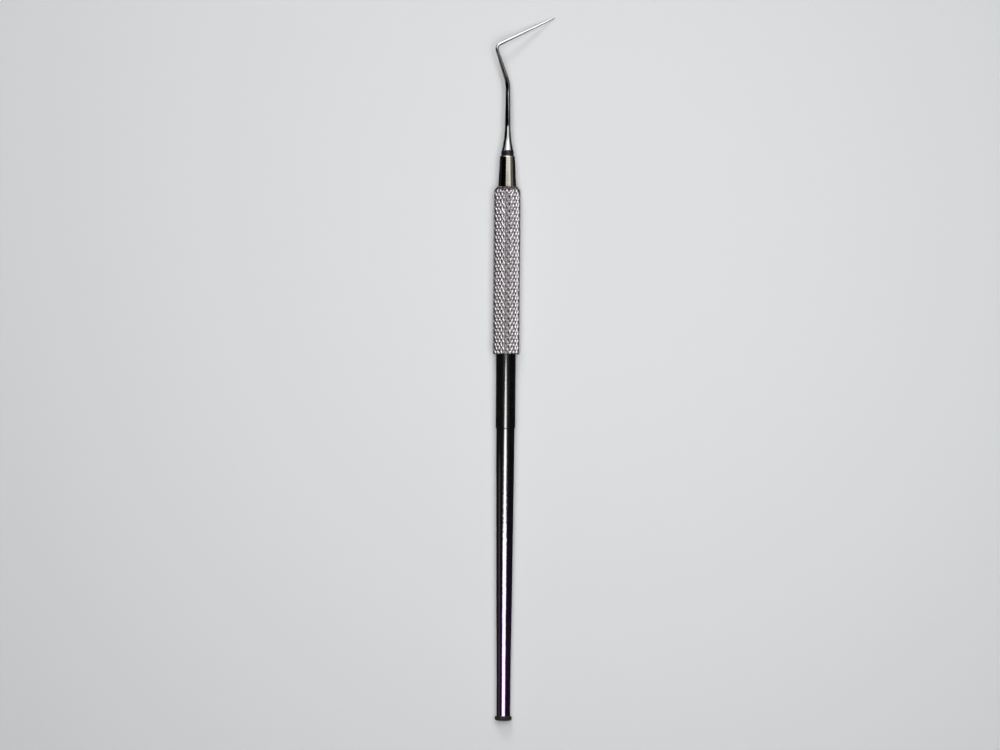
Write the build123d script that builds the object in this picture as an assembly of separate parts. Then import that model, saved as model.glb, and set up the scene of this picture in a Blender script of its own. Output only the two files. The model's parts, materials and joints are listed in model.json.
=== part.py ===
from build123d import *
import os
from math import asin, atan, cos, degrees, radians, sin, tan

# Dental explorer with a screw-in point. Every piece is turned about one axis, apart from the
# two bends of the point. Pieces are drawn in the instrument's own frame, in millimetres: the
# axis is X, the middle of the tail end is the zero, +X runs towards the tip, and the point
# bends in the XY plane. They are then laid down as the instrument rests on a table.

# Stations along the axis, from the tail end.
CAP_FRONT = 1.1          # end cap meets the tail rod
TAIL_FRONT = 69.2        # tail rod meets the barrel tube
GRIP_REAR = 86.8         # rear face of the knurled grip
GRIP_FRONT = 126.4       # front face of the knurled grip
FERRULE_FRONT = 133.7    # ferrule meets the collar ring
RING_FRONT = 134.9       # collar ring meets the flare of the point
FLARE_FRONT = 141.3      # flare runs out into the shank
FIRST_BEND = 150.85      # corner where the shank leans away
SECOND_BEND = 159.55     # corner where the needle begins
TIP = 166.95             # middle of the needle's rounded end

# Sideways reach of the point's centre line, positive on the needle's side.
SECOND_BEND_REACH = -3.17
TIP_REACH = 11.8

# Outside radii.
LIP_RADIUS = 2.0
TAIL_REAR_RADIUS = 1.6
TAIL_FRONT_RADIUS = 2.13
BARREL_RADIUS = 2.3
GRIP_RADIUS = 3.15
FERRULE_REAR_RADIUS = 2.12
FERRULE_FRONT_RADIUS = 1.76
RING_RADIUS = 1.46
FLARE_RADIUS = 1.33
SHANK_RADIUS = 0.61
BEND_RADIUS = 0.52       # the wire's own radius round the first bend
CORNER_RADIUS = 0.34     # the wire's own radius round the second bend
NEEDLE_RADIUS = 0.18     # where the ground point starts
TIP_RADIUS = 0.08

# Radii of the centre line round the two bends, and the length of the ground point.
FIRST_BEND_SWEEP = 9.0
SECOND_BEND_SWEEP = 1.4
GROUND_LENGTH = 0.9

# The tail rod's outline swells gently forward: two stations between its ends, and where it
# becomes parallel.
TAIL_SWELL = ((28.5, 1.84), (47.5, 2.0))
TAIL_PARALLEL = 66.5

# A station between the ends of the flare's hollow curve.
FLARE_WAIST = (137.5, 0.88)

# Edges.
LIP_THICKNESS = 0.75
LIP_EDGE = 0.2
JOINT_CHAMFER = 0.1
GRIP_FRONT_BEVEL = 0.78
GRIP_REAR_CHAMFER = 0.14
FERRULE_NOSE = 0.3
RING_EDGE = 0.12
GRIP_SEAM = 35.6         # where the sleeve's seam lies about the axis, in degrees from the bend plane

# Hidden joints: cap plug, rod spigot, ferrule shank, and the thread that holds the point.
PLUG_RADIUS = 0.9
PLUG_LENGTH = 4.0
SPIGOT_RADIUS = 1.3
SPIGOT_LENGTH = 10.0
SEAT_RADIUS = 2.0        # barrel tube inside the grip, behind a shoulder that stops the grip
GRIP_WEB = 3.0           # closed stretch at the front of the grip's bore
THREAD_RADIUS = 1.25     # M2.5 thread, bored in the ferrule
THREAD_CLEARANCE = 0.05
STUD_LENGTH = 4.3
THREAD_DEPTH = 5.7
RING_GAP = 0.02          # play on each side of the collar ring


def turned(outline):
    """A solid turned about the X axis from a closed outline on the XY plane."""
    return revolve(make_face(outline.edges()), axis=Axis.X)


def turned_polygon(*corners):
    """A turned solid with straight edges, from its corners as (station, radius)."""
    return turned(Polyline(*corners, close=True))


def end_cap():
    """Button that closes the tail: a rounded lip, a hollow fillet and a plug."""
    lip_front = (LIP_THICKNESS, LIP_RADIUS)
    fillet_end = (CAP_FRONT, TAIL_REAR_RADIUS)
    plug_end = CAP_FRONT + PLUG_LENGTH
    outline = Polyline((0, 0), (0, LIP_RADIUS - LIP_EDGE))
    outline += RadiusArc((0, LIP_RADIUS - LIP_EDGE), (LIP_EDGE, LIP_RADIUS), LIP_EDGE)
    outline += Line((LIP_EDGE, LIP_RADIUS), lip_front)
    outline += RadiusArc(lip_front, fillet_end, -(LIP_RADIUS - TAIL_REAR_RADIUS))
    outline += Polyline(fillet_end, (CAP_FRONT, PLUG_RADIUS), (plug_end, PLUG_RADIUS), (plug_end, 0), (0, 0))
    return turned(outline)


def tail_rod():
    """Solid rod that swells forward, bored for the cap, with a spigot for the barrel."""
    rear = (CAP_FRONT, TAIL_REAR_RADIUS)
    parallel = (TAIL_PARALLEL, TAIL_FRONT_RADIUS)
    spigot_end = TAIL_FRONT + SPIGOT_LENGTH
    outline = Spline(rear, *TAIL_SWELL, parallel, tangents=((1, 0), (1, 0)))
    outline += Polyline(
        parallel,
        (TAIL_FRONT - JOINT_CHAMFER, TAIL_FRONT_RADIUS),
        (TAIL_FRONT, TAIL_FRONT_RADIUS - JOINT_CHAMFER),
        (TAIL_FRONT, SPIGOT_RADIUS),
        (spigot_end, SPIGOT_RADIUS),
        (spigot_end, 0),
        (CAP_FRONT + PLUG_LENGTH, 0),
        (CAP_FRONT + PLUG_LENGTH, PLUG_RADIUS),
        (CAP_FRONT, PLUG_RADIUS),
        rear,
    )
    return turned(outline)


def barrel_tube():
    """Tube that joins tail and ferrule: bare behind its shoulder, sleeved in front of it."""
    return turned_polygon(
        (TAIL_FRONT, SPIGOT_RADIUS),
        (TAIL_FRONT, BARREL_RADIUS - JOINT_CHAMFER),
        (TAIL_FRONT + JOINT_CHAMFER, BARREL_RADIUS),
        (GRIP_REAR, BARREL_RADIUS),
        (GRIP_REAR, SEAT_RADIUS),
        (GRIP_FRONT - GRIP_WEB, SEAT_RADIUS),
        (GRIP_FRONT - GRIP_WEB, SPIGOT_RADIUS),
    )


def knurled_grip():
    """Sleeve over the barrel tube, drawn at the knurl's crests, bevelled at its front."""
    return Rot(GRIP_SEAM, 0, 0) * turned_polygon(
        (GRIP_REAR, SEAT_RADIUS),
        (GRIP_REAR, GRIP_RADIUS - GRIP_REAR_CHAMFER),
        (GRIP_REAR + GRIP_REAR_CHAMFER, GRIP_RADIUS),
        (GRIP_FRONT - GRIP_FRONT_BEVEL, GRIP_RADIUS),
        (GRIP_FRONT, GRIP_RADIUS - GRIP_FRONT_BEVEL),
        (GRIP_FRONT, SPIGOT_RADIUS),
        (GRIP_FRONT - GRIP_WEB, SPIGOT_RADIUS),
        (GRIP_FRONT - GRIP_WEB, SEAT_RADIUS),
    )


def ferrule():
    """Tapered nose with a rounded front, a shank in the barrel tube and a threaded bore."""
    shank_end = GRIP_FRONT - SPIGOT_LENGTH
    nose_start = (FERRULE_FRONT - FERRULE_NOSE, FERRULE_FRONT_RADIUS)
    nose_end = (FERRULE_FRONT, FERRULE_FRONT_RADIUS - FERRULE_NOSE)
    outline = Polyline(
        (shank_end, 0),
        (shank_end, SPIGOT_RADIUS),
        (GRIP_FRONT, SPIGOT_RADIUS),
        (GRIP_FRONT, FERRULE_REAR_RADIUS),
        nose_start,
    )
    outline += RadiusArc(nose_start, nose_end, FERRULE_NOSE)
    outline += Polyline(
        nose_end,
        (FERRULE_FRONT, THREAD_RADIUS),
        (FERRULE_FRONT - THREAD_DEPTH, THREAD_RADIUS),
        (FERRULE_FRONT - THREAD_DEPTH, 0),
        (shank_end, 0),
    )
    return turned(outline)


def collar_ring():
    """Ring on the point's stud, pinched between the ferrule and the flare."""
    rear = FERRULE_FRONT + RING_GAP
    front = RING_FRONT - RING_GAP
    return turned_polygon(
        (rear, THREAD_RADIUS),
        (rear, RING_RADIUS - RING_EDGE),
        (rear + RING_EDGE, RING_RADIUS),
        (front - RING_EDGE, RING_RADIUS),
        (front, RING_RADIUS - RING_EDGE),
        (front, THREAD_RADIUS),
    )


def bent(station, reach):
    """A place in the point's bend plane, from its station and its sideways reach."""
    return Vector(station, -reach, 0)


def cone_between(start, end, start_radius, end_radius):
    """A straight, round, tapered length of wire."""
    along = end - start
    section = Cone(start_radius, end_radius, along.length, align=(Align.CENTER, Align.CENTER, Align.MIN))
    return Plane(origin=start, z_dir=along) * section


def bend_at(corner, before, after, sweep_radius, wire_radius):
    """A wire bend of constant section, with the places where it starts and ends."""
    come = (corner - before).normalized()
    leave = (after - corner).normalized()
    setback = sweep_radius * tan(radians(come.get_angle(leave)) / 2)
    start = corner - come * setback
    end = corner + leave * setback
    path = TangentArc(start, end, tangent=come)
    wire = sweep(Plane(origin=start, z_dir=come) * Circle(wire_radius), path=path)
    return wire, start, end


def explorer_point():
    """Stud, flare, shank, two bends and the needle, all one piece of steel."""
    first_corner = bent(FIRST_BEND, 0)
    second_corner = bent(SECOND_BEND, SECOND_BEND_REACH)
    tip = bent(TIP, TIP_REACH)
    ground_start = tip - (tip - second_corner).normalized() * GROUND_LENGTH

    first, shank_end, lean_start = bend_at(
        first_corner, bent(FLARE_FRONT, 0), second_corner, FIRST_BEND_SWEEP, BEND_RADIUS
    )
    second, lean_end, needle_start = bend_at(
        second_corner, first_corner, tip, SECOND_BEND_SWEEP, CORNER_RADIUS
    )

    stud_rear = FERRULE_FRONT - STUD_LENGTH
    stud_radius = THREAD_RADIUS - THREAD_CLEARANCE
    flare_start = (RING_FRONT, FLARE_RADIUS)
    flare_end = (FLARE_FRONT, SHANK_RADIUS)
    outline = Polyline((stud_rear, 0), (stud_rear, stud_radius), (RING_FRONT, stud_radius), flare_start)
    outline += Spline(flare_start, FLARE_WAIST, flare_end, tangents=((1, -0.16), (1, -0.01)))
    outline += Polyline(flare_end, (shank_end.X, BEND_RADIUS), (shank_end.X, 0), (stud_rear, 0))

    point = turned(outline) + first
    point += cone_between(lean_start, lean_end, BEND_RADIUS, CORNER_RADIUS)
    point += second
    point += cone_between(needle_start, ground_start, CORNER_RADIUS, NEEDLE_RADIUS)
    point += cone_between(ground_start, tip, NEEDLE_RADIUS, TIP_RADIUS)
    point += Pos(tip) * Sphere(TIP_RADIUS)
    return point


def laid_down():
    """Resting place on the table: on the lip, the grip's rear corner and the needle's tip."""
    grip_edge = GRIP_REAR + GRIP_REAR_CHAMFER
    slope = atan((GRIP_RADIUS - LIP_RADIUS) / (grip_edge - LIP_EDGE))
    tail_height = LIP_RADIUS * cos(slope) - LIP_EDGE * sin(slope)
    tip_drop = tail_height + TIP * sin(slope) - TIP_RADIUS
    roll = asin(tip_drop / (TIP_REACH * cos(slope)))
    return Pos(0, 0, tail_height) * Rot(0, -degrees(slope), 0) * Rot(degrees(roll), 0, 0)


pieces = {
    "end_cap": end_cap(),
    "tail_rod": tail_rod(),
    "barrel_tube": barrel_tube(),
    "knurled_grip": knurled_grip(),
    "ferrule": ferrule(),
    "collar_ring": collar_ring(),
    "explorer_point": explorer_point(),
}

# The row's origin is the middle of the resting instrument's box, on the table.
rest = laid_down()
box = Compound([rest * piece for piece in pieces.values()]).bounding_box()
placement = Pos(-box.center().X, -box.center().Y, -box.min.Z) * rest

os.makedirs("parts", exist_ok=True)
for name, piece in pieces.items():
    export_step(placement * piece, "parts/" + name + ".step")
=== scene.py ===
import json
import math

import bmesh
import bpy
from mathutils import Matrix, Vector, noise


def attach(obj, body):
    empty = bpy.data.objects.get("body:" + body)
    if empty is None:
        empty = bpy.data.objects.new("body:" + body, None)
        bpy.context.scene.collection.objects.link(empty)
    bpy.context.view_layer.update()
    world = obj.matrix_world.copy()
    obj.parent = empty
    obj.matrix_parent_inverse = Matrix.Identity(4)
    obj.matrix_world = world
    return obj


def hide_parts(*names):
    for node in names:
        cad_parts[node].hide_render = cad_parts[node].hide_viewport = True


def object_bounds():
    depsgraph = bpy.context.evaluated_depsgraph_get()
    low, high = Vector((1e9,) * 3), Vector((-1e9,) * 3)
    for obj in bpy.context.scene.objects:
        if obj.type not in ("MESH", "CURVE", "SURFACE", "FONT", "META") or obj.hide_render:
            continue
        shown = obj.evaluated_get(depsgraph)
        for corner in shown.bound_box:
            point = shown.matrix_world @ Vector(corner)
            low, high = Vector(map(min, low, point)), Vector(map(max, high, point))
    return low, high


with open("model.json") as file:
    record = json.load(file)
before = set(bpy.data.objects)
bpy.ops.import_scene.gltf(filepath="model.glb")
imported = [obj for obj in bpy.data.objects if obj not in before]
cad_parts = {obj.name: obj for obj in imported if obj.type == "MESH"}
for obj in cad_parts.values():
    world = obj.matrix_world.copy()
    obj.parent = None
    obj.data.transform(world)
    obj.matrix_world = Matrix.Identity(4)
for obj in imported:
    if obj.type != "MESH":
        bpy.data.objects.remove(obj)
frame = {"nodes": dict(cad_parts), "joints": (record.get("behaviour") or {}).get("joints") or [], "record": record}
cad_low, cad_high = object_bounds()

# ---------------------------------------------------------------------------------------
# The instrument's own frame, in millimetres: X runs forward along the axis from the middle
# of the tail end, and the point's needle reaches towards -Y. It is worked out from the CAD.
# ---------------------------------------------------------------------------------------

nodes = frame["nodes"]
joints = {joint["name"]: joint for joint in frame["joints"]}
mounts = {mount["name"]: mount for mount in frame["record"]["mounts"]}

MM = 0.001
tail_end = Vector(mounts["tail_end"]["pos_m"])
forward = Vector(joints["point_screw"]["axis"]).normalized()


def off_axis(place):
    """The part of a place, in metres, that lies across the instrument's axis."""
    across = place - tail_end
    return across - forward * across.dot(forward)


def station_of(place):
    """How far along the axis a place lies, in millimetres from the tail end."""
    return (place - tail_end).dot(forward) / MM


point_places = (off_axis(v.co) for v in nodes["explorer_point"].data.vertices)
needle_side = max(point_places, key=lambda across: across.length).normalized()
instrument = Matrix((forward, -needle_side, forward.cross(-needle_side))).transposed().to_4x4()
instrument = Matrix.Translation(tail_end) @ instrument @ Matrix.Scale(MM, 4)


def stations(node):
    """First and last station of a turned CAD node."""
    along = [station_of(v.co) for v in nodes[node].data.vertices]
    return min(along), max(along)


FERRULE_FRONT = station_of(Vector(joints["point_screw"]["pos_m"]))
RING_LENGTH = 1.2
RING_FRONT = FERRULE_FRONT + RING_LENGTH

# ---------------------------------------------------------------------------------------
# Mesh tools
# ---------------------------------------------------------------------------------------


def add_object(name, bm, smooth=True):
    """A new object from a bmesh drawn in the instrument's frame."""
    mesh = bpy.data.meshes.new(name)
    bmesh.ops.recalc_face_normals(bm, faces=bm.faces)
    bm.transform(instrument)
    for face in bm.faces:
        face.smooth = smooth
    bm.to_mesh(mesh)
    bm.free()
    obj = bpy.data.objects.new(name, mesh)
    bpy.context.scene.collection.objects.link(obj)
    return obj


def polar(station, radius, angle):
    """A place on a circle about the axis; the angle turns by the right-hand rule about +X."""
    return Vector((station, radius * math.cos(angle), radius * math.sin(angle)))


def skin(bm, rings, closed_ends=True):
    """Faces between successive rings of vertices, and across the first and last."""
    for near, far in zip(rings, rings[1:]):
        count = len(near)
        for k in range(count):
            following = (k + 1) % count
            bm.faces.new((near[k], near[following], far[following], far[k]))
    if closed_ends:
        bm.faces.new(rings[0])
        bm.faces.new(rings[-1])


def turned_loop(outline, segments):
    """A ring-shaped solid turned from a closed outline of (station, radius) places."""
    bm = bmesh.new()
    rings = []
    angles = [math.tau * k / segments for k in range(segments)]
    for station, radius in outline:
        rings.append([bm.verts.new(polar(station, radius, a)) for a in angles])
    skin(bm, rings + rings[:1], closed_ends=False)
    return bm


# ---------------------------------------------------------------------------------------
# Knurled grip: two crossing families of ridges with diamond pits, cut to the sleeve's length
# ---------------------------------------------------------------------------------------

GRIP_RADIUS = mounts["grip_sleeve"]["dims"]["r_mm"]
GRIP_REAR, GRIP_FRONT = stations("knurled_grip")
FRONT_BEVEL = 0.78          # how much less radius the front has
FRONT_SHOULDER = 1.15       # how far back the rounded bevel reaches
SHOULDER_CURVE = 1.4        # 1 is a straight cone, more is rounder
REAR_CHAMFER = 0.14         # both along the grip and in radius
SEAT_RADIUS = 2.0           # the bore that the barrel tube sits in
SHANK_HOLE_RADIUS = 1.3     # the hole for the ferrule's shank
WEB = 3.0                   # length of that hole
SLEEVE_SEGMENTS = 168       # sides of the bore and the hole
SLEEVE_SPARE = 0.05         # how far the cutting shape stands outside the crests
SHARP_EDGE = math.radians(22)       # an edge that turns more than this is shaded sharp

KNURL_STARTS = 21           # ridges in each family
KNURL_PITCH = 1.684         # one diamond, along the axis
KNURL_DEPTH = 0.27
CREST_EDGE = 0.09           # half the width of a flat crest, as a share of the ridges' spacing
GROOVE_EDGE = 0.47          # where a flank reaches the groove, as the same share
# Mesh lines across a ridge and a groove, as shares of the ridges' spacing.
KNURL_LINES = (-CREST_EDGE, CREST_EDGE, 0.22, 0.35, GROOVE_EDGE, 0.53, 0.65, 0.78)
KNURL_WEAR = 0.12           # how unevenly the ridges stand, as a share of the depth
WEAR_GRAIN = 1.7            # how fine that unevenness is, per millimetre
KNURL_WANDER = 0.05         # how far a ridge strays sideways, as a share of their spacing
WANDER_GRAIN = 0.9
ELSEWHERE = Vector((50, 0, 0))      # makes the second family stray on its own


def crest_radius(station):
    """Radius of the ridges' crests: full along the grip, less over the front bevel and rear chamfer."""
    front = min(max(1 - (GRIP_FRONT - station) / FRONT_SHOULDER, 0.0), 1.0)
    rear = min(max(1 - (station - GRIP_REAR) / REAR_CHAMFER, 0.0), 1.0)
    return GRIP_RADIUS - FRONT_BEVEL * front ** SHOULDER_CURVE - REAR_CHAMFER * rear


def ridge_height(t):
    """Height of one family of straight-sided ridges: 1 along each narrow crest, 0 in each groove."""
    aside = abs(t - round(t))
    return min(max((GROOVE_EDGE - aside) / (GROOVE_EDGE - CREST_EDGE), 0.0), 1.0)


def knurl_place(a, b):
    """A place on the knurl. a and b count the two crossing families of ridges."""
    station = GRIP_REAR + KNURL_PITCH * (a - b) / 2
    angle = math.pi * (a + b) / KNURL_STARTS
    spot = polar(station, GRIP_RADIUS, angle)
    wear = KNURL_WEAR * abs(noise.noise(spot * WEAR_GRAIN))
    height = max(ridge_height(a), ridge_height(b)) * (1 - wear)
    stray_a = KNURL_WANDER * noise.noise(spot * WANDER_GRAIN)
    stray_b = KNURL_WANDER * noise.noise(spot * WANDER_GRAIN + ELSEWHERE)
    station += KNURL_PITCH * (stray_a - stray_b) / 2
    angle += math.pi * (stray_a + stray_b) / KNURL_STARTS
    return polar(station, crest_radius(station) - KNURL_DEPTH * (1 - height), angle)


def knurl_lattice():
    """The knurled surface, a little longer than the grip, closed by flat ends."""
    bm = bmesh.new()
    steps = len(KNURL_LINES)
    turn = KNURL_STARTS * steps
    places = {}

    def ridges_gone(line):
        """Turns a count of mesh lines into a count of ridges."""
        return line // steps + KNURL_LINES[line % steps]

    def place(i, j):
        key = (i - j, (i + j) % (2 * turn))
        if key not in places:
            places[key] = bm.verts.new(knurl_place(ridges_gone(i), ridges_gone(j)))
        return places[key]

    rows = math.ceil(2 * steps * (GRIP_FRONT - GRIP_REAR) / KNURL_PITCH) + steps
    for row in range(-steps, rows):
        for i in range(turn):
            j = i - row
            bm.faces.new((place(i, j), place(i + 1, j), place(i + 1, j + 1), place(i, j + 1)))
    for end in (-1, 1):
        close_knurl_end(bm, end)
    return bm


def close_knurl_end(bm, end):
    """Carries the ragged end of the lattice out to a flat end."""
    middle = (GRIP_REAR + GRIP_FRONT) / 2
    far = middle + end * ((GRIP_FRONT - GRIP_REAR) / 2 + 2 * KNURL_PITCH)
    ragged = [e for e in bm.edges if e.is_boundary and (e.verts[0].co.x - middle) * end > 0]
    carried = bmesh.ops.extrude_edge_only(bm, edges=ragged)["geom"]
    rim = [v for v in carried if isinstance(v, bmesh.types.BMVert)]
    for vertex in rim:
        vertex.co.x = far
    bmesh.ops.contextual_create(bm, geom=[e for e in carried if isinstance(e, bmesh.types.BMEdge)])


def soften(mesh, sharpest):
    """Smooth shading everywhere but across edges that turn more than an angle."""
    bm = bmesh.new()
    bm.from_mesh(mesh)
    for face in bm.faces:
        face.smooth = True
    for edge in bm.edges:
        edge.smooth = edge.calc_face_angle(0.0) < sharpest
    bm.to_mesh(mesh)
    bm.free()


def knurled_sleeve():
    """The knurl cut to length, with its seat and shank hole."""
    lattice = add_object("knurled_sleeve", knurl_lattice(), smooth=False)
    sleeve = turned_loop(
        (
            (GRIP_REAR, SEAT_RADIUS),
            (GRIP_REAR, GRIP_RADIUS + SLEEVE_SPARE),
            (GRIP_FRONT, GRIP_RADIUS + SLEEVE_SPARE),
            (GRIP_FRONT, SHANK_HOLE_RADIUS),
            (GRIP_FRONT - WEB, SHANK_HOLE_RADIUS),
            (GRIP_FRONT - WEB, SEAT_RADIUS),
        ),
        segments=SLEEVE_SEGMENTS,
    )
    cutter = add_object("sleeve_outline", sleeve, smooth=False)
    trim = lattice.modifiers.new("trim", "BOOLEAN")
    trim.operation = "INTERSECT"
    trim.solver = "EXACT"
    trim.object = cutter
    depsgraph = bpy.context.evaluated_depsgraph_get()
    trimmed = bpy.data.meshes.new_from_object(lattice.evaluated_get(depsgraph))
    lattice.modifiers.clear()
    lattice.data = trimmed
    bpy.data.objects.remove(cutter)
    soften(trimmed, SHARP_EDGE)
    return lattice


# ---------------------------------------------------------------------------------------
# Explorer point: a threaded stud, a flare and a tapering wire with two bends
# ---------------------------------------------------------------------------------------

STUD_LENGTH = 4.3
STUD_REAR = FERRULE_FRONT - STUD_LENGTH
THREAD_PITCH = 0.45
THREAD_CREST = 1.2
THREAD_ROOT = 0.93
THREAD_FULLNESS = 1.35      # more than 1 gives the crest a flat top
THREAD_FLANK = 4            # how steeply the flanks fall
THREAD_LEAD_IN = 0.8        # turns over which the thread rises at the stud's end
THREAD_RUN_OUT = 0.6        # turns over which it fades towards the ring
THREAD_TURNS_CLEAR = 0.5    # plain length behind the ring, in turns

FLARE_FRONT = 141.3
FLARE_RADIUS = 1.33
FLARE_WAIST = (137.5, 0.88)     # station and radius of a place on the hollow curve
SHANK_RADIUS = 0.61
BEND_RADIUS = 0.52
CORNER_RADIUS = 0.34
NEEDLE_RADIUS = 0.18
TIP_RADIUS = 0.08
GROUND_LENGTH = 0.9         # the last of the needle, ground to a finer point

# Stations, and how far off the axis towards the needle's side
FIRST_BEND = (150.85, 0.0)
SECOND_BEND = (159.55, -3.17)
TIP = (166.95, 11.8)
FIRST_BEND_SWEEP = 9.0      # radius of the bend's centre line
SECOND_BEND_SWEEP = 1.4

POINT_SEGMENTS = 48         # sides of the stud and the wire
THREAD_RINGS_A_TURN = 12    # rings of vertices along each stretch of the point
FLARE_RINGS = 40
SHANK_RINGS = 12
FIRST_BEND_RINGS = 16
LEAN_RINGS = 24
SECOND_BEND_RINGS = 28
NEEDLE_RINGS = 60
GROUND_RINGS = 8
TIP_RINGS = 5


def flare_radius(station):
    """Hollow curve of the flare, from its shoulder down to the shank."""
    waist, waist_radius = FLARE_WAIST
    t = (station - RING_FRONT) / (FLARE_FRONT - RING_FRONT)
    t_waist = (waist - RING_FRONT) / (FLARE_FRONT - RING_FRONT)
    drop = FLARE_RADIUS - SHANK_RADIUS
    power = math.log((waist_radius - SHANK_RADIUS) / drop) / math.log(1 - t_waist)
    return SHANK_RADIUS + drop * (1 - t) ** power


def thread_radius(station, angle):
    """Radius of the right-hand thread at a station and an angle about the axis."""
    turn = (station - STUD_REAR) / THREAD_PITCH
    phase = (turn - angle / math.tau) % 1.0
    profile = min(max(THREAD_FULLNESS - THREAD_FLANK * abs(phase - 0.5), 0.0), 1.0)
    turns = (FERRULE_FRONT - STUD_REAR) / THREAD_PITCH
    lead_in = min(max(turn / THREAD_LEAD_IN, 0.0), 1.0)
    run_out = min(max((turns - THREAD_TURNS_CLEAR - turn) / THREAD_RUN_OUT, 0.0), 1.0)
    return THREAD_ROOT + (THREAD_CREST - THREAD_ROOT) * profile * lead_in * run_out


def arc_places(corner, before, after, sweep, steps):
    """Places round a bend, each as the wire's centre and its direction."""
    come = (corner - before).normalized()
    leave = (after - corner).normalized()
    turn = come.angle_signed(leave)
    setback = sweep * math.tan(abs(turn) / 2)
    start = corner - come * setback
    side = Vector((-come.y, come.x)) if turn < 0 else Vector((come.y, -come.x))
    centre = start + side * sweep
    places = []
    for k in range(steps + 1):
        gone = turn * k / steps
        rotate = Matrix.Rotation(-gone, 2)
        places.append((centre - rotate @ side * sweep, rotate @ come))
    return places


def wire_rings():
    """(centre, direction, radius) from the shank's start to the end of the needle."""
    first, second, tip = Vector(FIRST_BEND), Vector(SECOND_BEND), Vector(TIP)
    bend = arc_places(first, Vector((FLARE_FRONT, 0)), second, FIRST_BEND_SWEEP, FIRST_BEND_RINGS)
    corner = arc_places(second, first, tip, SECOND_BEND_SWEEP, SECOND_BEND_RINGS)
    way = corner[-1][1]
    ground = tip - way * GROUND_LENGTH
    rings = [(centre, direction, BEND_RADIUS) for centre, direction in bend]
    for k in range(1, LEAN_RINGS):
        t = k / LEAN_RINGS
        centre = bend[-1][0].lerp(corner[0][0], t)
        rings.append((centre, bend[-1][1], BEND_RADIUS + (CORNER_RADIUS - BEND_RADIUS) * t))
    rings += [(centre, direction, CORNER_RADIUS) for centre, direction in corner]
    for k in range(1, NEEDLE_RINGS + 1):
        t = k / NEEDLE_RINGS
        centre = corner[-1][0].lerp(ground, t)
        rings.append((centre, way, CORNER_RADIUS + (NEEDLE_RADIUS - CORNER_RADIUS) * t))
    for k in range(1, GROUND_RINGS + 1):
        t = k / GROUND_RINGS
        rings.append((ground.lerp(tip, t), way, NEEDLE_RADIUS + (TIP_RADIUS - NEEDLE_RADIUS) * t))
    for k in range(1, TIP_RINGS):
        lift = math.radians(90 * k / TIP_RINGS)
        rings.append((tip + way * TIP_RADIUS * math.sin(lift), way, TIP_RADIUS * math.cos(lift)))
    return rings


def explorer_point():
    """The whole point as one closed mesh."""
    bm = bmesh.new()
    angles = [math.tau * k / POINT_SEGMENTS for k in range(POINT_SEGMENTS)]
    rings = []

    thread_rings = THREAD_RINGS_A_TURN * round((FERRULE_FRONT - STUD_REAR) / THREAD_PITCH)
    for k in range(thread_rings + 1):
        station = STUD_REAR + (FERRULE_FRONT - STUD_REAR) * k / thread_rings
        rings.append([bm.verts.new(polar(station, thread_radius(station, a), a)) for a in angles])
    rings.append([bm.verts.new(polar(RING_FRONT, THREAD_ROOT, a)) for a in angles])

    for k in range(FLARE_RINGS + 1):
        station = RING_FRONT + (FLARE_FRONT - RING_FRONT) * k / FLARE_RINGS
        rings.append([bm.verts.new(polar(station, flare_radius(station), a)) for a in angles])

    wire = wire_rings()
    shank_front = wire[0][0].x
    for k in range(1, SHANK_RINGS):
        t = k / SHANK_RINGS
        station = FLARE_FRONT + (shank_front - FLARE_FRONT) * t
        radius = SHANK_RADIUS + (BEND_RADIUS - SHANK_RADIUS) * t
        rings.append([bm.verts.new(polar(station, radius, a)) for a in angles])

    for centre, way, radius in wire:
        middle = Vector((centre.x, -centre.y, 0))
        across = Vector((way.y, way.x, 0))
        upright = Vector((0, 0, 1))
        rings.append([
            bm.verts.new(middle + (across * math.cos(a) + upright * math.sin(a)) * radius) for a in angles
        ])
    skin(bm, rings)
    return add_object("explorer_point_steel", bm)


# ---------------------------------------------------------------------------------------
# Materials
# ---------------------------------------------------------------------------------------

BLACK = (0.004, 0.0037, 0.0038)
BRIGHT = (0.92, 0.90, 0.88)
BLOOM_START = 62.0          # the station where the tail's bloom begins, and the one where it is full
BLOOM_FULL = 18.0
UNSHADED_SHARE = 0.3           # how far down a ridge the steel stays free of painted shade, as a share of its depth
FRACTAL_ROUGHNESS = 0.6


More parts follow.
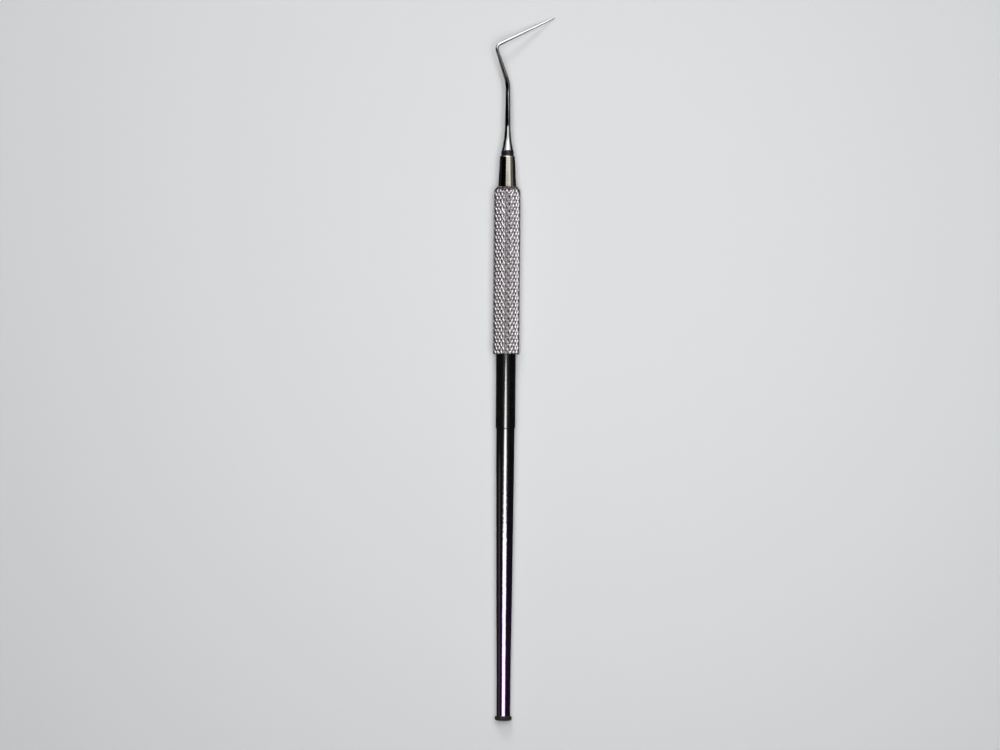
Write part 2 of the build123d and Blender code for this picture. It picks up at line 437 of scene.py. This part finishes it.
class Nodes:
    """Short calls for building a material's node tree in the instrument's frame."""

    def __init__(self, name):
        self.material = bpy.data.materials.new(name)
        self.material.use_nodes = True
        self.tree = self.material.node_tree
        self.shader = self.tree.nodes["Principled BSDF"]
        place = self.tree.nodes.new("ShaderNodeTexCoord").outputs["Object"]
        undo = instrument.inverted()
        mapping = self.tree.nodes.new("ShaderNodeMapping")
        mapping.vector_type = "POINT"
        mapping.inputs["Location"].default_value = undo.to_translation()
        mapping.inputs["Rotation"].default_value = undo.to_euler()
        mapping.inputs["Scale"].default_value = undo.to_scale()
        self.link(place, mapping.inputs["Vector"])
        self.place = mapping.outputs["Vector"]

    def link(self, source, target):
        """Joins an output socket to an input socket."""
        self.tree.links.new(source, target)

    def set(self, **values):
        """Sets the shader's own sockets by name."""
        for name, value in values.items():
            self.shader.inputs[name.replace("_", " ")].default_value = value

    def stretched(self, scale):
        """Coordinates in millimetres, multiplied along and across the instrument."""
        node = self.tree.nodes.new("ShaderNodeVectorMath")
        node.operation = "MULTIPLY"
        node.inputs[1].default_value = scale
        self.link(self.place, node.inputs[0])
        return node.outputs["Vector"]

    def noise(self, scale, detail, stretch=(1, 1, 1)):
        """Noise of about scale grains to a millimetre, times stretch along and across."""
        node = self.tree.nodes.new("ShaderNodeTexNoise")
        node.inputs["Scale"].default_value = scale
        node.inputs["Detail"].default_value = detail
        node.inputs["Roughness"].default_value = FRACTAL_ROUGHNESS
        self.link(self.stretched(stretch), node.inputs["Vector"])
        return node.outputs["Fac"]

    def ramp(self, source, low, high, start=0.0, end=1.0):
        """Maps low..high of a value to start..end, clamped."""
        node = self.tree.nodes.new("ShaderNodeMapRange")
        node.inputs["From Min"].default_value = low
        node.inputs["From Max"].default_value = high
        node.inputs["To Min"].default_value = start
        node.inputs["To Max"].default_value = end
        self.link(source, node.inputs["Value"])
        return node.outputs["Result"]

    def mix(self, factor, first, second):
        """A colour between two colours; either may be a socket."""
        node = self.tree.nodes.new("ShaderNodeMix")
        node.data_type = "RGBA"
        self.link(factor, node.inputs["Factor"])
        for value, socket in ((first, node.inputs[6]), (second, node.inputs[7])):
            if isinstance(value, tuple):
                socket.default_value = (*value, 1.0)
            else:
                self.link(value, socket)
        return node.outputs[2]

    def math(self, operation, first, second=None):
        """A sum on sockets or plain numbers, named as Blender names it."""
        node = self.tree.nodes.new("ShaderNodeMath")
        node.operation = operation
        for value, socket in zip((first, second), node.inputs):
            if value is None:
                continue
            if isinstance(value, (int, float)):
                socket.default_value = value
            else:
                self.link(value, socket)
        return node.outputs["Value"]

    def bump(self, height, depth):
        """A bump whose depth is in millimetres, on the whole surface."""
        node = self.tree.nodes.new("ShaderNodeBump")
        node.inputs["Distance"].default_value = depth * MM
        node.inputs["Strength"].default_value = 1.0
        self.link(height, node.inputs["Height"])
        self.link(node.outputs["Normal"], self.shader.inputs["Normal"])

    def colour(self, source):
        """Takes the surface's colour from a socket."""
        self.link(source, self.shader.inputs["Base Color"])

    def roughness(self, source, low, high, smoothest, roughest):
        """Maps low..high of a value to the surface's roughness."""
        self.link(self.ramp(source, low, high, smoothest, roughest), self.shader.inputs["Roughness"])


def black_coat(name, under_gloss, roughness, bloom=None):
    """Gloss black coating with fine lengthwise scratches and specks.

    bloom is a colour and a tint of the reflections that grow towards the tail.
    """
    m = Nodes(name)
    coat = BLACK
    if bloom is None:
        m.set(Specular_Tint=(*BRIGHT, 1.0))
    else:
        bloom_colour, bloom_tint = bloom
        along = m.tree.nodes.new("ShaderNodeSeparateXYZ")
        m.link(m.place, along.inputs["Vector"])
        rearward = m.ramp(along.outputs["X"], BLOOM_START, BLOOM_FULL)
        patches = m.noise(0.35, detail=3.0, stretch=(0.35, 1.0, 1.0))
        patchy = m.math("MULTIPLY", rearward, m.ramp(patches, 0.30, 0.60, 0.6, 1.0))
        coat = m.mix(patchy, BLACK, bloom_colour)
        m.link(m.mix(rearward, BRIGHT, bloom_tint), m.shader.inputs["Specular Tint"])
    specks = m.noise(4.5, detail=1.0)
    m.colour(m.mix(m.ramp(specks, 0.74, 0.80), coat, (0.10, 0.095, 0.095)))
    smoothest, roughest = roughness
    scratches = m.noise(5.0, detail=3.0, stretch=(0.12, 4.0, 4.0))
    m.roughness(scratches, 0.35, 0.75, smoothest, roughest)
    m.bump(scratches, depth=0.0004)
    m.set(Metallic=0.0, IOR=1.5, Specular_IOR_Level=under_gloss)
    m.set(Coat_Weight=1.0, Coat_Roughness=0.05, Coat_IOR=1.5)
    return m.material


def bright_knurl():
    """Bright rolled steel with random grime; painted shade darkens it towards the bottoms of the grooves."""
    m = Nodes("bright_knurl")
    separate = m.tree.nodes.new("ShaderNodeSeparateXYZ")
    m.link(m.place, separate.inputs["Vector"])
    y = separate.outputs["Y"]
    z = separate.outputs["Z"]
    radius = m.math("SQRT", m.math("ADD", m.math("MULTIPLY", y, y), m.math("MULTIPLY", z, z)))
    # Painted shade: the colour darkens towards the groove bottoms by radius alone, standing in for shade in the
    # recesses.
    groove_shade_mask = m.ramp(radius, GRIP_RADIUS - KNURL_DEPTH, GRIP_RADIUS - UNSHADED_SHARE * KNURL_DEPTH)
    grime = m.noise(1.3, detail=5.0)
    steel = m.mix(groove_shade_mask, (0.10, 0.08, 0.085), (0.74, 0.70, 0.73))
    m.colour(m.mix(m.ramp(grime, 0.55, 0.75), steel, (0.42, 0.38, 0.40)))
    grain = m.noise(9.0, detail=3.0)
    m.roughness(grain, 0.3, 0.7, 0.08, 0.16)
    m.bump(grain, depth=0.001)
    m.set(Metallic=1.0)
    return m.material


def worn_nickel():
    """Turned ferrule: warm nickel plate with fine tool rings."""
    m = Nodes("worn_nickel")
    rings = m.noise(7.0, detail=3.0, stretch=(3.0, 0.06, 0.06))
    wear = m.noise(0.8, detail=4.0)
    m.colour(m.mix(m.ramp(wear, 0.4, 0.65), (0.66, 0.62, 0.56), (0.61, 0.56, 0.48)))
    m.roughness(rings, 0.3, 0.7, 0.09, 0.13)
    m.bump(rings, depth=0.0002)
    m.set(Metallic=1.0)
    return m.material


def dull_cap():
    """The tail's cap: the coating worn to a dull brownish grey."""
    m = Nodes("dull_cap")
    wear = m.noise(2.2, detail=4.0)
    m.colour(m.mix(m.ramp(wear, 0.35, 0.65), (0.006, 0.0055, 0.005), (0.032, 0.028, 0.024)))
    m.roughness(wear, 0.3, 0.7, 0.45, 0.6)
    m.bump(wear, depth=0.004)
    m.set(Metallic=0.0, IOR=1.45)
    return m.material


def dull_ring():
    """Dull black ring with a soft sheen."""
    m = Nodes("dull_ring")
    grain = m.noise(6.0, detail=4.0)
    m.colour(m.mix(grain, (0.006, 0.006, 0.0065), (0.014, 0.014, 0.014)))
    m.roughness(grain, 0.3, 0.7, 0.18, 0.30)
    m.bump(grain, depth=0.004)
    m.set(Metallic=0.0, IOR=2.0, Coat_Weight=1.0, Coat_Roughness=0.16, Coat_IOR=1.7)
    return m.material


def dark_steel():
    """Hardened polished steel of the point, with drawn lines along the wire."""
    m = Nodes("dark_steel")
    drawn = m.noise(6.0, detail=3.0, stretch=(0.25, 3.0, 3.0))
    tint = m.noise(0.5, detail=2.0)
    m.colour(m.mix(m.ramp(tint, 0.4, 0.65), (0.60, 0.60, 0.61), (0.52, 0.51, 0.51)))
    m.roughness(drawn, 0.3, 0.7, 0.035, 0.065)
    m.bump(drawn, depth=0.0003)
    m.set(Metallic=1.0)
    return m.material


def paint(obj, material):
    """Gives a new piece one material throughout."""
    obj.data.materials.clear()
    obj.data.materials.append(material)


def paint_node(node, material):
    """Gives a CAD node that stays in sight a better material."""
    for entry in nodes[node].material_slots:
        entry.material = material


# ---------------------------------------------------------------------------------------
# Pieces
# ---------------------------------------------------------------------------------------

violet_bloom = ((0.013, 0.005, 0.020), (0.66, 0.36, 1.0))
rod_black = black_coat("rod_black", under_gloss=0.40, roughness=(0.16, 0.28), bloom=violet_bloom)
tube_black = black_coat("tube_black", under_gloss=0.18, roughness=(0.20, 0.34))
paint_node("tail_rod", rod_black)
paint_node("barrel_tube", tube_black)
paint_node("end_cap", dull_cap())
paint_node("ferrule", worn_nickel())
paint_node("collar_ring", dull_ring())

sleeve = knurled_sleeve()
paint(sleeve, bright_knurl())
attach(sleeve, "handle")
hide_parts("knurled_grip")

steel_point = explorer_point()
paint(steel_point, dark_steel())
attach(steel_point, "point")
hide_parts("explorer_point")

# ---------------------------------------------------------------------------------------
# Floor, light and camera. Their places are in metres, on the world's own axes.
# ---------------------------------------------------------------------------------------

FLOOR_SIDE = 3.0
PAPER_COLOUR = (0.783, 0.792, 0.803, 1)
DISTANCE_COLOUR = (0.80, 0.80, 0.81, 1)
DISTANCE_STRENGTH = 0.85
WARM = (1.0, 0.86, 0.78)


def pale_floor():
    """A plain sheet of pale paper under the instrument. Polished metal doesn't mirror it."""
    bpy.ops.mesh.primitive_plane_add(size=FLOOR_SIDE, location=(0, 0, cad_low.z))
    floor = bpy.context.object
    floor.name = "pale_floor"
    floor.visible_glossy = False
    floor.visible_shadow = False
    m = bpy.data.materials.new("pale_floor")
    m.use_nodes = True
    shader = m.node_tree.nodes["Principled BSDF"]
    shader.inputs["Base Color"].default_value = PAPER_COLOUR
    shader.inputs["Roughness"].default_value = 0.9
    shader.inputs["Specular IOR Level"].default_value = 0.0
    floor.data.materials.append(m)


def soft_light(name, place, size, radiance, aim=None, shape="RECTANGLE", for_paper=False):
    """A flat light, sizes in metres, that faces straight down unless it is aimed at a place.

    radiance is how bright it looks: white paper in full light is about 1. A light for the paper
    isn't reflected, and the others are only reflected.
    """
    light = bpy.data.lights.new(name, "AREA")
    light.shape = shape
    light.size, light.size_y = size
    area = size[0] * size[1] * (math.pi / 4 if shape == "ELLIPSE" else 1)
    light.energy = radiance * math.pi * area
    lamp = bpy.data.objects.new(name, light)
    lamp.location = place
    if aim is not None:
        lamp.rotation_euler = (Vector(aim) - Vector(place)).to_track_quat("-Z", "Y").to_euler()
    lamp.visible_glossy = not for_paper
    lamp.visible_diffuse = for_paper
    lamp.visible_camera = False
    bpy.context.scene.collection.objects.link(lamp)
    return lamp


def only_on(name, pieces, lamps):
    """Lets lights reach only some of the pieces."""
    receivers = bpy.data.collections.new(name)
    for piece in pieces:
        receivers.objects.link(piece)
    for lamp in lamps:
        lamp.light_linking.receiver_collection = receivers


def light_paper():
    """A key light from the front, two lights overhead, and a high one that evens the paper."""
    soft_light("key", (0.42, 0.08, 0.42), (0.2, 0.2), 7.0, aim=(0, 0, 0), for_paper=True)
    soft_light("overhead", (0.0, -0.03, 0.30), (0.20, 0.20), 3.5, shape="ELLIPSE", for_paper=True)
    soft_light("overhead_wide", (0.0, -0.02, 0.40), (0.34, 0.34), 1.50, shape="ELLIPSE", for_paper=True)
    soft_light("paper_even", (0.0, 0.0, 2.4), (1.3, 1.3), 2.1, for_paper=True)


def light_handle():
    """The long soft shape that runs down the handle as a streak."""
    streaks = [
        soft_light("streak_front", (-0.085, 0.0, 0.6), (0.15, 0.30), 17.0, shape="ELLIPSE"),
        soft_light("streak_rear", (-0.20, 0.0, 0.6), (0.20, 0.54), 20.0),
    ]
    only_on("black_handle", [nodes["tail_rod"], nodes["barrel_tube"]], streaks)


def light_grip():
    """Panels round the knurl, bright in front and dim behind, at the sides and overhead."""
    under = cad_low.z - 0.004
    around = [
        soft_light("grip_rear_right", (-0.42, -0.55, 0.6), (0.60, 0.90), 1.0),
        soft_light("grip_rear_left", (-0.42, 0.18, 0.6), (0.60, 0.55), 0.4),
        soft_light("grip_top", (0.0, -0.27, 0.6), (0.24, 1.45), 0.35),
        soft_light("grip_front_right", (0.48, -0.55, 0.6), (0.73, 0.90), 1.9),
        soft_light("grip_front_left", (0.48, 0.42, 0.6), (0.73, 0.25), 1.7),
        soft_light("grip_left", (0.02, 0.80, 0.2), (1.0, 0.9), 0.05, aim=(0.02, 0.0, 0.2)),
        soft_light("grip_right", (0.02, -1.20, 0.2), (1.0, 0.9), 0.05, aim=(0.02, 0.0, 0.2)),
        soft_light("grip_under", (0.02, 0.0, under), (1.2, 1.2), 0.2, aim=(0.02, 0.0, 1.0)),
    ]
    only_on("bright_grip", [sleeve], around)


def light_metal():
    """Cards and panels that every piece reflects, and one that only the point does."""
    soft_light("under_card", (0, 0, cad_low.z - 0.002), (1.2, 1.2), 0.02, aim=(0, 0, 1.0))
    left_fill = soft_light("left_fill", (-0.35, 0.55, 0.10), (0.6, 0.2), 0.7, aim=(-0.35, 0, 0.02))
    left_fill.data.color = WARM
    glint = soft_light("needle_glint", (0.60, -0.02, 0.28), (0.36, 0.40), 3.2, aim=(0.08, 0.02, 0.0))
    only_on("steel_point", [steel_point], [glint])
    soft_light("near_strip", (0.21, -0.18, 0.6), (0.15, 0.76), 1.25)
    soft_light("far_panel", (0.55, -0.14, 0.6), (0.55, 0.86), 1.7)
    soft_light("front_panel", (0.85, 0.0, 0.30), (0.70, 0.60), 1.7, aim=(0, 0, 0.30))
    soft_light("right_panel", (0.24, -0.60, 0.30), (0.24, 0.50), 0.18, aim=(0.24, 0, 0))


def light_ends():
    """Dim walls before and behind, for the smooth pieces as seen from a low angle."""
    walls = [
        soft_light("front_wall", (0.65, 0.0, 0.8), (2.8, 1.6), 0.45, aim=(0.0, 0.0, 0.8)),
        soft_light("rear_wall", (-0.65, 0.0, 0.8), (2.8, 1.6), 0.45, aim=(0.0, 0.0, 0.8)),
    ]
    turned = [nodes[node] for node in ("end_cap", "tail_rod", "barrel_tube", "ferrule", "collar_ring")]
    only_on("smooth_pieces", turned + [steel_point], walls)


def pale_distance():
    """Pale surroundings beyond the floor, which light nothing."""
    world = bpy.data.worlds.new("studio")
    world.use_nodes = True
    background = world.node_tree.nodes["Background"]
    background.inputs["Color"].default_value = DISTANCE_COLOUR
    background.inputs["Strength"].default_value = DISTANCE_STRENGTH
    world.cycles_visibility.glossy = False
    world.cycles_visibility.diffuse = False
    bpy.context.scene.world = world
    bpy.context.scene.view_settings.view_transform = "Standard"


PICTURE_WIDTH = 0.2369      # metres of the instrument's plane across the picture
CAMERA_HEIGHT = 0.6         # metres above the instrument's axis
SENSOR_WIDTH = 36.0
AXIS_LEAN = math.radians(0.43)      # how far the instrument leans from upright in the picture
VIEW_STATION = 81.85        # where the picture's middle row meets the instrument's axis
VIEW_ASIDE = 1.38           # how far the picture's middle lies beyond the axis, away from the needle


def overhead_camera():
    """Looks straight down, with the point at the top of the picture."""
    camera = bpy.data.cameras.new("overhead")
    camera.sensor_width = SENSOR_WIDTH
    camera.lens = SENSOR_WIDTH * CAMERA_HEIGHT / PICTURE_WIDTH
    camera.clip_start = 0.01
    camera.clip_end = 10.0
    middle = tail_end + forward * VIEW_STATION * MM
    up = Vector((math.cos(AXIS_LEAN), math.sin(AXIS_LEAN), 0))
    right = Vector((up.y, -up.x, 0))
    eye = bpy.data.objects.new("overhead", camera)
    eye.matrix_world = Matrix((right, up, (0, 0, 1))).transposed().to_4x4()
    eye.location = middle - right * VIEW_ASIDE * MM + Vector((0, 0, CAMERA_HEIGHT))
    bpy.context.scene.collection.objects.link(eye)
    bpy.context.scene.camera = eye


pale_floor()
light_paper()
light_handle()
light_grip()
light_metal()
light_ends()
pale_distance()
overhead_camera()

bpy.context.view_layer.update()
